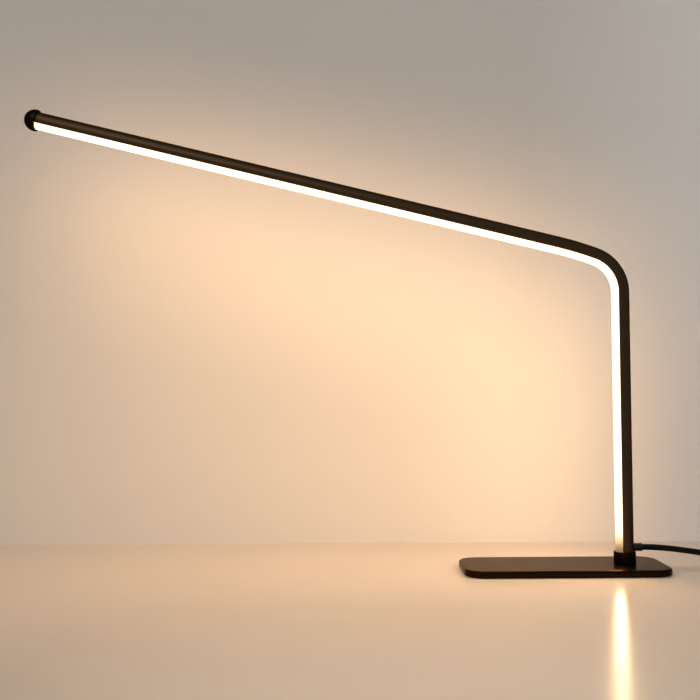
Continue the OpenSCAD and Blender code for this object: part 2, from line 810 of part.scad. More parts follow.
module button(i) {
    translate([dimmer_mid_x + i * button_pitch, 0, 0]) {
        difference() {
            translate([0, 0, button_flange_top - button_flange_t])
                cylinder(d = button_d, h = dimmer_h + button_proud - button_flange_top + button_flange_t);
            translate([0, 0, dimmer_h + button_proud - 0.25]) linear_extrude(height = 1) children();
        }
        translate([0, 0, button_flange_top - button_flange_t]) cylinder(d = button_d + 1.6, h = button_flange_t);
        translate([0, 0, plunger_bottom]) cylinder(d = plunger_d, h = button_flange_top - plunger_bottom);
    }
}

mark = 3.6;
mark_line = 0.7;

module button_power() {
    color([0.16, 0.16, 0.16]) button(0) difference() {
        circle(d = mark);
        circle(d = mark - 2 * mark_line);
    }
}

module button_brighter() {
    color([0.16, 0.16, 0.16]) button(-1) {
        square([mark, mark_line], center = true);
        square([mark_line, mark], center = true);
    }
}

module button_dimmer() {
    color([0.16, 0.16, 0.16]) button(1) square([mark_line, mark], center = true);
}

module cord_mid() {
    color(black) swept_tube(mid_points, cord_d, 10, [0, 0, 1]);
}

module cord_coil() {
    color(black) swept_tube(coil_points, cord_d, coil_sides, [0, 0, 1]);
}

module cord_tail() {
    color(black) swept_tube(tail_points, cord_d, 10, [0, 0, 1]);
}

// The wall adapter; x is measured from its cord end towards the pins
module adapter_at(x) {
    translate([adapter_x - x, adapter_y, adapter_z]) rotate([0, -90, 0]) children();
}

module adapter_shell() {
    inner_h = adapter_h - 2 * adapter_wall;
    inner_w = adapter_w - 2 * adapter_wall;
    ledge_w = 1.5;
    color(black) difference() {
        union() {
            difference() {
                adapter_at(shell_l) mirror([0, 0, 1])
                    round_block(adapter_h, adapter_w, adapter_corner_r, shell_l, adapter_edge_r);
                adapter_at(adapter_wall) square_block(inner_h, inner_w, adapter_corner_r - adapter_wall, shell_l);
            }
            for (side = [0, 1]) translate([0, adapter_y, 0]) mirror([0, side, 0])
                translate([adapter_x - shell_l + 4, adapter_board_w / 2 - ledge_w, adapter_wall - 1])
                    cube([shell_l - 8, ledge_w, adapter_board_bottom - adapter_wall + 1]);
        }
        adapter_at(-1) cylinder(d = guard_root_d - 2, h = adapter_wall + 2);
    }
}

module adapter_face() {
    lip = 3;
    inner_h = adapter_h - 2 * adapter_wall - 2 * fit;
    inner_w = adapter_w - 2 * adapter_wall - 2 * fit;
    color(black) difference() {
        union() {
            adapter_at(shell_l)
                round_block(adapter_h, adapter_w, adapter_corner_r, adapter_face_l, adapter_edge_r);
            adapter_at(shell_l - lip)
                square_block(inner_h, inner_w, adapter_corner_r - adapter_wall - fit, lip);
        }
        adapter_at(shell_l - lip - 1) cube([inner_h - 4, inner_w - 4, 2 * (lip + 3)], center = true);
        for (side = [-1, 1]) adapter_at(0) translate([0, side * pin_pitch / 2, 0])
            cylinder(d = pin_d, h = adapter_l + 1);
    }
}

module adapter_pins() {
    color(metal) for (side = [-1, 1]) adapter_at(adapter_l) translate([0, side * pin_pitch / 2, 0])
        rotate_extrude() polygon([
            [0, -adapter_face_l - 1], [pin_d / 2, -adapter_face_l - 1], [pin_d / 2, pin_l - 1.2],
            [pin_d / 2 - 0.4, pin_l - 0.4], [pin_d / 2 - 1.2, pin_l], [0, pin_l]
        ]);
}

module adapter_board() {
    color(board_green) translate([
        adapter_x - shell_l + 4, adapter_y - adapter_board_w / 2, adapter_board_bottom
    ]) cube([shell_l - 8, adapter_board_w, board_t]);
}

module on_adapter_board(x, y) {
    translate([adapter_x - x, adapter_y + y, adapter_board_bottom + board_t]) children();
}

module adapter_transformer() {
    color([0.85, 0.75, 0.3]) on_adapter_board(shell_l * 0.55, 0) translate([-8, -7.5, 0]) cube([16, 15, 13]);
}

module adapter_capacitors() {
    color([0.25, 0.27, 0.3]) {
        on_adapter_board(shell_l * 0.82, 0) cylinder(d = 8, h = 12);
        on_adapter_board(shell_l * 0.25, 5) cylinder(d = 7, h = 11);
        on_adapter_board(shell_l * 0.25, -5) cylinder(d = 7, h = 11);
    }
}

module adapter_guard() {
    color(black) adapter_at(0) mirror([0, 0, 1])
        guard_shape(adapter_guard_l, guard_root_d, guard_root_d - 2, adapter_wall, guard_tip_d);
}

base_plate();
base_pad();
collar();
pivot_bush();
stop_pin();
bent_channel();
diffuser();
led_strip();
led_chips();
supply_wires();
end_cap();
post_foot();
foot_screws();
pivot_bolt();
slide_washer();
disc_spring();
cord_grip();
grip_nut();
cord_stop();
jacket_end();
cord_lead();
dimmer_bottom();
dimmer_top();
dimmer_board();
dimmer_switches();
dimmer_cores();
dimmer_guards();
dimmer_screws();
button_power();
button_brighter();
button_dimmer();
cord_mid();
cord_coil();
cord_tail();
adapter_shell();
adapter_face();
adapter_pins();
adapter_board();
adapter_transformer();
adapter_capacitors();
adapter_guard();
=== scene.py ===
import bmesh
import bpy
import numpy as np
from mathutils import Matrix


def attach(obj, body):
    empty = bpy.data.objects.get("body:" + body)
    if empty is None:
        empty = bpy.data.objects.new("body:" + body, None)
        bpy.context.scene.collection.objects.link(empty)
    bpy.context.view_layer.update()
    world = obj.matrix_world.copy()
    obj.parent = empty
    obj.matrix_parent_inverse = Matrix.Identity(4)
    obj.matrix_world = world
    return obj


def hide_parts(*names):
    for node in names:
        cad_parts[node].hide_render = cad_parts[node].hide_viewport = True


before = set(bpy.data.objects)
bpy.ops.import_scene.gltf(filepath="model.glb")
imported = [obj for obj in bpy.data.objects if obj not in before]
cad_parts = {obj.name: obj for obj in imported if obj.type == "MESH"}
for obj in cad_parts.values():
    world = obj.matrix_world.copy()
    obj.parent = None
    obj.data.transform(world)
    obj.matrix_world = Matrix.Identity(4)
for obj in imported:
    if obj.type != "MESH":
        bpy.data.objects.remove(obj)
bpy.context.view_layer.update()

# The camera stands where the photograph's camera stood: 1.06 m in front of the lamp and
# 0.2 m above the table, tilted up by 2.3 degrees, with a 50 mm lens on a 36 mm sensor.
camera_place = (-0.3001, -1.0581, 0.1955)
camera_tilt, camera_roll, camera_turn = 0.041, -0.006, 0.005
ahead = np.array([
    np.sin(camera_turn) * np.cos(camera_tilt),
    np.cos(camera_turn) * np.cos(camera_tilt),
    np.sin(camera_tilt),
])
level = np.array([np.cos(camera_turn), -np.sin(camera_turn), 0.0])
upright = np.cross(level, ahead)
camera_right = level * np.cos(camera_roll) + upright * np.sin(camera_roll)
camera_top = -level * np.sin(camera_roll) + upright * np.cos(camera_roll)
camera_frame = np.eye(4)
camera_frame[:3, :] = np.stack([camera_right, camera_top, -ahead, camera_place], axis=1)
camera = bpy.data.objects.new("camera", bpy.data.cameras.new("camera"))
camera.data.sensor_width = 36
camera.data.lens = 50.17
camera.data.clip_start, camera.data.clip_end = 0.01, 20
camera.matrix_world = Matrix(camera_frame.tolist())
bpy.context.scene.collection.objects.link(camera)
bpy.context.scene.camera = camera
bpy.context.scene.view_settings.view_transform = "Standard"


# The cord is a round two-core flex, 6.4 mm thick, in a black PVC sheath that is satin from
# the extruder. 1.8 m of it runs from the post through the dimmer and a coil to the adapter.
class Shade:
    """A value in a material. Arithmetic on it adds Math nodes, and node() adds any other node."""

    def __init__(self, tree, socket=None):
        self.tree, self.socket = tree, socket

    def node(self, kind, settings, values, result=0):
        made = self.tree.nodes.new(kind)
        for key, value in settings.items():
            if key == "stops":
                ramp = made.color_ramp
                for _ in range(len(value) - 2):
                    ramp.elements.new(0.5)
                for element, (place, colour) in zip(ramp.elements, value):
                    element.position, element.color = place, (*colour, 1)
            else:
                setattr(made, key, value)
        for key, value in values.items():
            if isinstance(value, Shade):
                self.tree.links.new(value.socket, made.inputs[key])
            else:
                made.inputs[key].default_value = value
        return Shade(self.tree, made.outputs[result])

    def maths(self, operation, first, second=0.0):
        return self.node("ShaderNodeMath", {"operation": operation}, {0: first, 1: second})

    def __add__(self, other):
        return self.maths("ADD", self, other)

    def __radd__(self, other):
        return self.maths("ADD", other, self)

    def __sub__(self, other):
        return self.maths("SUBTRACT", self, other)

    def __rsub__(self, other):
        return self.maths("SUBTRACT", other, self)

    def __mul__(self, other):
        return self.maths("MULTIPLY", self, other)

    def __rmul__(self, other):
        return self.maths("MULTIPLY", other, self)

    def __truediv__(self, other):
        return self.maths("DIVIDE", self, other)

    def __rtruediv__(self, other):
        return self.maths("DIVIDE", other, self)

    def held(self):
        """The value, held between 0 and 1."""
        return self.maths("MINIMUM", self.maths("MAXIMUM", self, 0.0), 1.0)

    def noise(self, place, scale, detail=2.0, roughness=0.5):
        values = {"Vector": place, "Scale": scale, "Detail": detail, "Roughness": roughness}
        return self.node("ShaderNodeTexNoise", {}, values)

    def stretched(self, place, scale):
        return self.node("ShaderNodeMapping", {}, {"Vector": place, "Scale": scale})

    def coordinate(self, place, axis):
        """One coordinate of the place: 0 is to the right, 1 backwards and 2 up."""
        return self.node("ShaderNodeSeparateXYZ", {}, {"Vector": place}, axis)

    def blended(self, amount, first, second):
        """The colour first where amount is 0, and second where it is 1."""
        values = {0: amount}
        for key, colour in ((6, first), (7, second)):
            values[key] = colour if isinstance(colour, Shade) else (*colour, 1)
        return self.node("ShaderNodeMix", {"data_type": "RGBA"}, values, 2)

    def bump(self, height, depth, strength=1.0):
        values = {"Height": height, "Distance": depth, "Strength": strength}
        return self.node("ShaderNodeBump", {}, values)


def socket_name(words):
    """The shader's own name for an argument: base_color is Base Color."""
    return words.replace("_", " ").title().replace("Ior", "IOR")


def new_finish(name, **fixed):
    """A material with fixed values on its shader. Gives it, its shader, a Shade and the Object
    coordinates."""
    finish = bpy.data.materials.new(name)
    finish.use_nodes = True
    shader = finish.node_tree.nodes["Principled BSDF"]
    for key, value in fixed.items():
        shader.inputs[socket_name(key)].default_value = value
    shade = Shade(finish.node_tree)
    place = shade.node("ShaderNodeTexCoord", {}, {}, "Object")
    return finish, shader, shade, place


def feed(shader, **varying):
    """Links values that change over the surface to the shader's sockets."""
    for key, value in varying.items():
        value.tree.links.new(value.socket, shader.inputs[socket_name(key)])


def sheath_finish(name, dark, light):
    """Satin PVC: faint cloudy colour, roughness from 0.38 to 0.52, and a skin with fine pits."""
    finish, shader, shade, place = new_finish(name, specular_ior_level=0.2)
    cloud = shade.noise(place, 70, 3)
    skin = shade.noise(place, 2600, 2)
    feed(
        shader,
        base_color=shade.blended(cloud, dark, light),
        roughness=0.38 + cloud * 0.14,
        normal=shade.bump(skin + cloud * 0.4, 0.00005, 0.5),
    )
    return finish


sheath_black = sheath_finish("sheath_black", (0.0018, 0.0016, 0.0012), (0.005, 0.0045, 0.0036))
flex_d = 0.0064


def round_flex(name, points, thickness, finish):
    """One Bezier spline through the points. Each handle is a third of the way to the next point,
    along the line from the point before to the point after."""
    points = np.asarray(points, float)
    step = np.linalg.norm(np.diff(points, axis=0), axis=1)
    along = np.gradient(points, axis=0)
    along /= np.linalg.norm(along, axis=1, keepdims=True)
    before = np.concatenate([step[:1], step])[:, None] / 3
    after = np.concatenate([step, step[-1:]])[:, None] / 3
    line = bpy.data.curves.new(name, "CURVE")
    line.dimensions = "3D"
    line.resolution_u = 4
    line.bevel_depth = thickness / 2
    line.bevel_resolution = 5
    line.use_fill_caps = True
    spline = line.splines.new("BEZIER")
    spline.bezier_points.add(len(points) - 1)
    spline.bezier_points.foreach_set("co", points.ravel())
    spline.bezier_points.foreach_set("handle_left", (points - along * before).ravel())
    spline.bezier_points.foreach_set("handle_right", (points + along * after).ravel())
    flex = bpy.data.objects.new(name, line)
    bpy.context.scene.collection.objects.link(flex)
    line.materials.append(finish)
    return flex


def fitted(piece, body, slot_name, *nodes):
    """The piece rides with the body and stands in for the nodes. The slot's name is not used."""
    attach(piece, body)
    if nodes:
        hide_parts(*nodes)
    return piece


grip_end, grip_z = 0.0185, 0.02455
lead_route = np.array([
    (18.5, 0, 24.55), (24.9, 0, 24.55), (38, 0, 23.8), (52, 0, 22.4), (66, 0, 20.5), (81, 0, 18.2),
    (92, 0, 15.8), (103, 0, 12.6), (114, 0, 9.5), (125, 0, 7.5), (135.6, 0, 7), (142, 0, 7),
]) / 1000
flex_lead = round_flex("flex_lead", lead_route, flex_d, sheath_black)

coil_x, coil_y, coil_r, coil_pitch = 0.221, -0.052, 0.0358, 0.0070
coil_turns, coil_layers, coil_rings = 8.25, 4, 24
flex_rest_z = 0.0033
coil_top_z = flex_rest_z + (coil_layers - 1) * coil_pitch


def coil_line(turns):
    """A flat spiral that runs in and out between two radii, and climbs by one pitch over half a
    turn where it turns back."""
    layer_turns, climb_turns = coil_turns / coil_layers, 0.5
    layer = np.floor(turns / layer_turns)
    along = turns / layer_turns - layer
    inward = np.where(layer % 2 == 0, along, 1 - along)
    radius = coil_r - coil_pitch * layer_turns * inward
    climbs = [(turns - k * layer_turns) / climb_turns + 0.5 for k in range(1, coil_layers)]
    height = coil_pitch * np.clip(climbs, 0, 1).sum(axis=0)
    angle = 2 * np.pi * turns
    x, y = coil_x + radius * np.cos(angle), coil_y - radius * np.sin(angle)
    return np.stack([x, y, flex_rest_z + height], axis=1)


mid_route = np.array([
    (224, 0, 7), (230.4, 0, 7), (240, -2, 6.2), (248, -8, 4.8), (254, -16, 3.8), (256.4, -26, 3.3),
    (256.8, -36, 3.3), (256.8, -45.6, 3.3),
]) / 1000
tail_route = np.array([
    (221, -87.8, 24.3), (214.6, -87.8, 24.3), (208.2, -87.8, 24.3), (201, -87.8, 21.8),
    (193, -87.8, 16.8), (185.4, -87.8, 13), (179, -87.8, 13),
]) / 1000
coil_route = coil_line(np.arange(coil_turns * coil_rings) / coil_rings)
spare_route = np.concatenate([mid_route, coil_route, tail_route])
flex_spare = round_flex("flex_spare", spare_route, flex_d, sheath_black)

fitted(flex_lead, "arm", "cord_sheath", "cord_lead")
fitted(flex_spare, "arm", "cord_sheath", "cord_mid", "cord_coil", "cord_tail")


# Two straps of black hook-and-loop tape hold the coil of spare flex. Each is one closed band,
# pulled snug round all the turns.
def surface(name, rows, finish, crease, closed_rows=False, caps=False):
    """A mesh of a grid of points, rows by ring. Neighbours make quads, each ring closes on
    itself, the last row may join the first, and caps close the two end rings. Edges that turn by
    more than the crease, in degrees, look sharp."""
    same_spot, no_length = 1e-7, 1e-8
    rows = np.asarray(rows, float)
    count, ring = rows.shape[:2]
    i = np.arange(count if closed_rows else count - 1)[:, None]
    k = np.arange(ring)[None, :]
    here, there, turn = i * ring, (i + 1) % count * ring, (k + 1) % ring
    quads = np.stack([here + k, here + turn, there + turn, there + k], axis=-1).reshape(-1, 4)
    faces = quads.tolist()
    if caps:
        last = (count - 1) * ring
        faces += [list(range(ring))[::-1], list(range(last, last + ring))]
    mesh = bpy.data.meshes.new(name)
    mesh.from_pydata(rows.reshape(-1, 3).tolist(), [], faces)
    shape = bmesh.new()
    shape.from_mesh(mesh)
    bmesh.ops.remove_doubles(shape, verts=shape.verts, dist=same_spot)
    bmesh.ops.dissolve_degenerate(shape, edges=shape.edges, dist=no_length)
    bmesh.ops.recalc_face_normals(shape, faces=shape.faces)
    shape.to_mesh(mesh)
    shape.free()
    mesh.shade_smooth()
    mesh.set_sharp_from_angle(angle=np.radians(crease))
    mesh.materials.append(finish)
    piece = bpy.data.objects.new(name, mesh)
    bpy.context.scene.collection.objects.link(piece)
    return piece


def tape_finish(name):
    """Woven tape: fine wavy rings of thread under a fuzz, in a dark grey-black."""
    finish, shader, shade, place = new_finish(name)
    rings = {"Vector": place, "Scale": 600.0, "Distortion": 2.0}
    weave = shade.node("ShaderNodeTexWave", {"wave_type": "RINGS"}, rings, 1)
    fuzz = shade.noise(place, 1800, 3)
    feed(
        shader,
        base_color=shade.blended(fuzz, (0.012, 0.012, 0.013), (0.04, 0.04, 0.042)),
        roughness=0.75 + fuzz * 0.2,
        normal=shade.bump(weave * 0.5 + fuzz, 0.0002, 0.7),
    )
    return finish


tape_black = tape_finish("tape_black")


def rounded_loop(half_w, half_h, corner, points):
    """A rounded rectangle's outline: four quarter circles whose centres are drawn in by the
    corner's radius."""
    angle = np.linspace(0, 2 * np.pi, points, endpoint=False) + np.pi / points
    centre_x = (half_w - corner) * np.sign(np.cos(angle))
    centre_y = (half_h - corner) * np.sign(np.sin(angle))
    return np.stack([centre_x + corner * np.cos(angle), centre_y + corner * np.sin(angle)], axis=1)


def strap(name, angle):
    """A band round the coil's bundle: a rounded loop in the plane through the coil's axis, with
    a flat rounded section. A point (a, b) of the loop and (c, d) of the section go to centre +
    a radial + b up + c out + d across."""
    inner_r, outer_r, bundle_corner = 0.0178, 0.0393, 0.0034
    half_t, half_w, tape_corner, tape_clear = 0.00032, 0.0035, 0.0003, 0.0002
    low, high = 0.0007, coil_top_z + flex_d / 2 + tape_clear
    loop = rounded_loop((outer_r - inner_r) / 2, (high - low) / 2, bundle_corner, 96)
    edge = rounded_loop(half_t, half_w, tape_corner, 16)
    radial, up = np.array([np.cos(angle), np.sin(angle), 0]), np.array([0, 0, 1.0])
    across = np.cross(radial, up)
    centre = np.array([coil_x, coil_y, (high + low) / 2]) + radial * (inner_r + outer_r) / 2
    along = np.roll(loop, -1, axis=0) - np.roll(loop, 1, axis=0)
    out = np.stack([along[:, 1], -along[:, 0]], axis=1)
    out /= np.linalg.norm(out, axis=1, keepdims=True)
    flat = loop[:, None, :] + edge[None, :, 0, None] * out[:, None, :]
    rows = centre + flat[..., :1] * radial + flat[..., 1:] * up + edge[None, :, 1, None] * across
    band = surface(name, rows, tape_black, crease=50, closed_rows=True)
    return fitted(band, "arm", "pad_rubber")


straps = [strap("coil_strap_near", np.radians(-38)), strap("coil_strap_far", np.radians(142))]


# The cord grip is a moulded black sleeve with a flange at its mouth. Its threaded stem goes
# through the tube's wall and takes a nut inside, and the flex is held by a crimped stop.
def turned(name, profile, finish, centre=(0, 0, 0), axis=(0, 0, 1), sides=72):
    """A turned piece: the profile, a closed loop of (radius, height), is carried round the axis,
    which isn't Y. A point at radius r and height h goes to centre + h axis + r (cos a u +
    sin a v)."""
    profile = np.asarray(profile, float)
    axis = np.asarray(axis, float)
    u = np.cross(axis, (0, 1, 0))
    u /= np.linalg.norm(u)
    v = np.cross(axis, u)
    angle = 2 * np.pi * np.arange(sides) / sides
    spoke = np.cos(angle)[:, None] * u + np.sin(angle)[:, None] * v
    rows = np.asarray(centre) + profile[:, None, 1:] * axis + profile[:, None, :1] * spoke[None]
    return surface(name, rows, finish, crease=35, closed_rows=True)


def eased(points, ease, steps=5):
    """The closed loop of points with each corner rounded: an arc-like curve between two points
    that lie ease before and after it, (1-t)^2 a + 2t(1-t) corner + t^2 b. A corner with ease 0
    stays sharp."""
    points = np.asarray(points, float)
    ease = np.broadcast_to(ease, len(points))
    made = []
    neighbours = np.roll(points, 1, 0), np.roll(points, -1, 0)
    for corner, size, before, after in zip(points, ease, *neighbours):
        if size == 0:
            made.append(corner[None])
            continue
        a = corner + (before - corner) / np.linalg.norm(before - corner) * size
        b = corner + (after - corner) / np.linalg.norm(after - corner) * size
        t = np.linspace(0, 1, steps)[:, None]
        made.append((1 - t) ** 2 * a + 2 * t * (1 - t) * corner + t**2 * b)
    return np.concatenate(made)


def moulded_finish(name, dark, light, grain=1900, depth=0.00006, low=0.5, high=0.68):
    """Moulded plastic from a spark-eroded tool: a fine even grain, cloudy colour, roughness from
    low to high."""
    finish, shader, shade, place = new_finish(name)
    cells = shade.node("ShaderNodeTexVoronoi", {}, {"Vector": place, "Scale": grain * 0.8})
    grit = shade.noise(place, grain, 3, 0.6)
    cloud = shade.noise(place, 45, 2)
    feed(
        shader,
        base_color=shade.blended((cloud * 0.6 + grit * 0.4).held(), dark, light),
        roughness=low + grit * (high - low),
        normal=shade.bump(grit + cells * 0.6, depth, 0.6),
    )
    return finish


grip_black = moulded_finish(
    "grip_black", (0.0018, 0.0016, 0.0014), (0.005, 0.0046, 0.004), 2600, 0.00004, 0.36, 0.5
)
grip_bore_r, barrel_r, groove_r, flange_r = 0.0033, 0.0042, 0.0040, 0.00435
grip_start, barrel_end, flange_start, groove_side = 0.0086, 0.0163, 0.0170, 0.0002
grip_profile = eased(
    [
        (grip_bore_r, grip_start), (barrel_r, grip_start), (barrel_r, barrel_end),
        (groove_r, barrel_end + groove_side), (groove_r, flange_start - groove_side),
        (flange_r, flange_start), (flange_r, grip_end), (grip_bore_r, grip_end),
    ],
    [0.0001, 0, 0.0002, 0.0001, 0.0001, 0.0003, 0.0004, 0.0003],
)
cord_sleeve = turned("cord_sleeve", grip_profile, grip_black, (0, 0, grip_z), (1, 0, 0))
fitted(cord_sleeve, "arm", "grip_plastic", "cord_grip")


# Inside the tube the flex ends in a short stripped piece of sheath, and two red wires climb
# from it to the strip's solder pads.
wire_red = sheath_finish("wire_red", (0.42, 0.02, 0.015), (0.6, 0.05, 0.04))
jacket_x, core_d = 0.001022, 0.0018
jacket_profile = eased(
    [(0, jacket_x), (flex_d / 2, jacket_x), (flex_d / 2, grip_end), (0, grip_end)],
    [0, 0.0003, 0, 0],
)
sheath_end = turned("sheath_end", jacket_profile, sheath_black, (0, 0, grip_z), (1, 0, 0), 48)
fitted(sheath_end, "arm", "cord_sheath", "jacket_end")
wire_route = np.array([
    (1.022, 1.2, 24.55), (-0.378, 1.2, 24.55), (-1.578, 1.3, 26.15), (-1.978, 1.5, 29.05),
    (-1.378, 1.8, 31.55), (-0.4, 2, 33.95), (0.6, 2, 36.55), (0.6, 2, 40.05),
]) / 1000
for side, name in ((1, "supply_wire_back"), (-1, "supply_wire_front")):
    supply_wire = round_flex(name, wire_route * (1, side, 1), core_d, wire_red)
    fitted(supply_wire, "arm", "wire_sleeve", "supply_wires")


# The dimmer is a small case in two moulded halves, clipped on the flex, with a guard of soft
# black rubber at each end and three push buttons in a row on top.
def from_solid(name, node, finish, edge, body, slot_name):
    """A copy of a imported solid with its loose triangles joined, its flat faces made whole and its
    sharp edges eased by the given radius."""
    same_spot, flat_angle, sharp_angle = 1e-6, np.radians(0.6), np.radians(32)
    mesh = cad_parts[node].data.copy()
    mesh.name = name
    shape = bmesh.new()
    shape.from_mesh(mesh)
    bmesh.ops.remove_doubles(shape, verts=shape.verts, dist=same_spot)
    bmesh.ops.dissolve_limit(
        shape, angle_limit=flat_angle, verts=shape.verts, edges=shape.edges,
        use_dissolve_boundaries=False,
    )
    shape.to_mesh(mesh)
    shape.free()
    mesh.shade_smooth()
    mesh.set_sharp_from_angle(angle=sharp_angle)
    mesh.materials.clear()
    mesh.materials.append(finish)
    piece = bpy.data.objects.new(name, mesh)
    bpy.context.scene.collection.objects.link(piece)
    easing = piece.modifiers.new("eased edges", "BEVEL")
    easing.width = edge
    easing.segments = 2
    easing.limit_method = "ANGLE"
    easing.angle_limit = sharp_angle
    easing.harden_normals = True
    return fitted(piece, body, slot_name, node)


case_black = moulded_finish("case_black", (0.014, 0.014, 0.015), (0.032, 0.031, 0.032))
case_edge, key_edge = 0.0003, 0.0002
dimmer_under = from_solid(
    "dimmer_under", "dimmer_bottom", case_black, case_edge, "arm", "case_plastic"
)
dimmer_lid = from_solid("dimmer_lid", "dimmer_top", case_black, case_edge, "arm", "case_plastic")
key_rubber = moulded_finish(
    "key_rubber", (0.045, 0.045, 0.048), (0.075, 0.075, 0.08), 1500, 0.00005, 0.55, 0.7
)
dimmer_keys = [
    from_solid(
        "key_" + word, "button_" + word, key_rubber, key_edge, word + "_button", "button_plastic"
    )
    for word in ("power", "brighter", "dimmer")
]
guard_rubber = moulded_finish(
    "guard_rubber", (0.01, 0.01, 0.011), (0.02, 0.02, 0.021), 1700, 0.00004, 0.5, 0.62
)


def guard(name, node, case_end, towards, length, neck_l, ribs):
    """A cord guard: a plug behind the case's wall, a neck, a root and a taper cut by ring grooves
    between its ribs. The taper's radius falls with the 0.8th power of the way along it."""
    root_r, neck_r, tip_r = 0.0045, 0.0035, 0.0038
    plug_t, root_share, groove_depth, groove_slope = 0.001, 0.3, 0.0005, 0.00008
    taper = []
    edges = np.linspace(length * root_share, length, 2 * ribs + 1)
    for i, (a, b) in enumerate(zip(edges[:-1], edges[1:])):
        radius = root_r + (tip_r - root_r) * (i / (2 * ribs - 1)) ** 0.8 - i % 2 * groove_depth
        taper += [(radius, a + groove_slope), (radius, b - groove_slope)]
    profile = [(0, -neck_l - plug_t), (root_r, -neck_l - plug_t), (root_r, -neck_l)]
    profile += [(neck_r, -neck_l), (neck_r, 0), (root_r, 0), *taper, (0, length)]
    sleeve = turned(name, eased(profile, 0.00007, 3), guard_rubber, case_end, towards, 56)
    return fitted(sleeve, "arm", "cord_sheath", node)


dimmer_start, dimmer_end, dimmer_axis_z = 0.150, 0.216, 0.007
dimmer_wall, dimmer_guard_l = 0.0016, 0.008
guard_in, guard_out = [
    guard(name, "dimmer_guards", (x, 0, dimmer_axis_z), (way, 0, 0), dimmer_guard_l, dimmer_wall, 3)
    for name, x, way in (
        ("dimmer_guard_in", dimmer_start, -1), ("dimmer_guard_out", dimmer_end, 1),
    )
]


# Inside the dimmer a green board carries three press switches, and the flex's cores reach it
# from both ends. Two screws close the case from below.
def board_finish(name):
    """Green solder mask: darker over bare laminate, lighter over copper tracks, with a gloss."""
    finish, shader, shade, place = new_finish(name)
    bricks = {"Vector": place, "Scale": 160.0, "Mortar Size": 0.06}
    bricks |= {"Color1": (0, 0, 0, 1), "Color2": (0.3, 0.3, 0.3, 1), "Mortar": (1, 1, 1, 1)}
    tracks = shade.node("ShaderNodeTexBrick", {}, bricks, 1)
    cloud = shade.noise(place, 90, 2)
    feed(
        shader,
        base_color=shade.blended(tracks, (0.012, 0.085, 0.035), (0.03, 0.2, 0.09)),
        roughness=0.28 + cloud * 0.12,
        normal=shade.bump(tracks, 0.00004, 0.6),
    )
    return finish


def metal_finish(name, dark, light, low, high, stretch):
    """Bare metal: fine tool marks, longer where stretch is small, in colour, roughness and bump."""
    finish, shader, shade, place = new_finish(name, metallic=1.0)
    marks = shade.noise(shade.stretched(place, stretch), 900, 3, 0.6)
    feed(
        shader,
        base_color=shade.blended(marks, dark, light),
        roughness=low + marks * (high - low),
        normal=shade.bump(marks, 0.00002, 0.35),
    )
    return finish


def given(finish, *nodes):
    """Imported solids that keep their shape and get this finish."""
    for node in nodes:
        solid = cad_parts[node]
        solid.data.materials.clear()
        solid.data.materials.append(finish)


board_green = board_finish("board_green")
switch_black = moulded_finish(
    "switch_black", (0.012, 0.012, 0.012), (0.02, 0.02, 0.02), 2200, 0.00003, 0.3, 0.4
)
zinc_steel = metal_finish(
    "zinc_steel", (0.42, 0.42, 0.43), (0.62, 0.62, 0.63), 0.28, 0.42, (1, 1, 0.15)
)
given(board_green, "dimmer_board", "adapter_board")
given(switch_black, "dimmer_switches")
given(wire_red, "dimmer_cores")
given(zinc_steel, "dimmer_screws")


# The adapter lies on the table at the coil's side: a moulded case and a pin plate, with two
# nickelled 4 mm pins, and a guard where the flex comes in.
adapter_case = from_solid(
    "adapter_case", "adapter_shell", case_black, case_edge, "arm", "case_plastic"
)
adapter_plate = from_solid(
    "adapter_plate", "adapter_face", case_black, case_edge, "arm", "case_plastic"
)
nickel = metal_finish("nickel", (0.6, 0.57, 0.5), (0.78, 0.75, 0.68), 0.16, 0.26, (0.1, 1, 1))
adapter_start, adapter_end, adapter_y, adapter_z = 0.165, 0.105, -0.0878, 0.013
pin_r, pin_l, pin_root_l, pin_spacing, tip_l, tip_step = 0.002, 0.019, 0.01, 0.0186, 0.0012, 0.0004
pin_profile = eased(
    [
        (0, -pin_root_l), (pin_r, -pin_root_l), (pin_r, pin_l - tip_l),
        (pin_r - tip_step, pin_l - tip_step), (pin_r - tip_l, pin_l), (0, pin_l),
    ],
    [0, 0, 0.0004, 0.0003, 0.0002, 0],
)
for side, name in ((-1, "contact_pin_left"), (1, "contact_pin_right")):
    pin_foot = (adapter_end, adapter_y + side * pin_spacing / 2, adapter_z)
    pin = turned(name, pin_profile, nickel, pin_foot, (-1, 0, 0), 48)
    fitted(pin, "arm", "pin_nickel", "adapter_pins")
adapter_wall, adapter_guard_l = 0.0018, 0.014
guard_adapter = guard(
    "adapter_sleeve", "adapter_guard", (adapter_start, adapter_y, adapter_z), (1, 0, 0),
    adapter_guard_l, adapter_wall, 5,
)


# Inside the adapter a ferrite transformer and three capacitors in plastic sleeves stand on
# their board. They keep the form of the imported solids.
def ferrite_finish(name):
    """Sintered ferrite: a dark grey with a sandy grain."""
    finish, shader, shade, place = new_finish(name)
    sand = shade.noise(place, 1400, 4, 0.7)
    feed(
        shader,
        base_color=shade.blended(sand, (0.03, 0.03, 0.032), (0.09, 0.088, 0.085)),
        roughness=0.6 + sand * 0.2,
        normal=shade.bump(sand, 0.0001, 0.6),
    )
    return finish


given(ferrite_finish("ferrite"), "adapter_transformer")
capacitor_sleeve = metal_finish(
    "capacitor_sleeve", (0.05, 0.06, 0.1), (0.09, 0.1, 0.16), 0.25, 0.35, (1, 1, 0.2)
)
given(capacitor_sleeve, "adapter_capacitors")


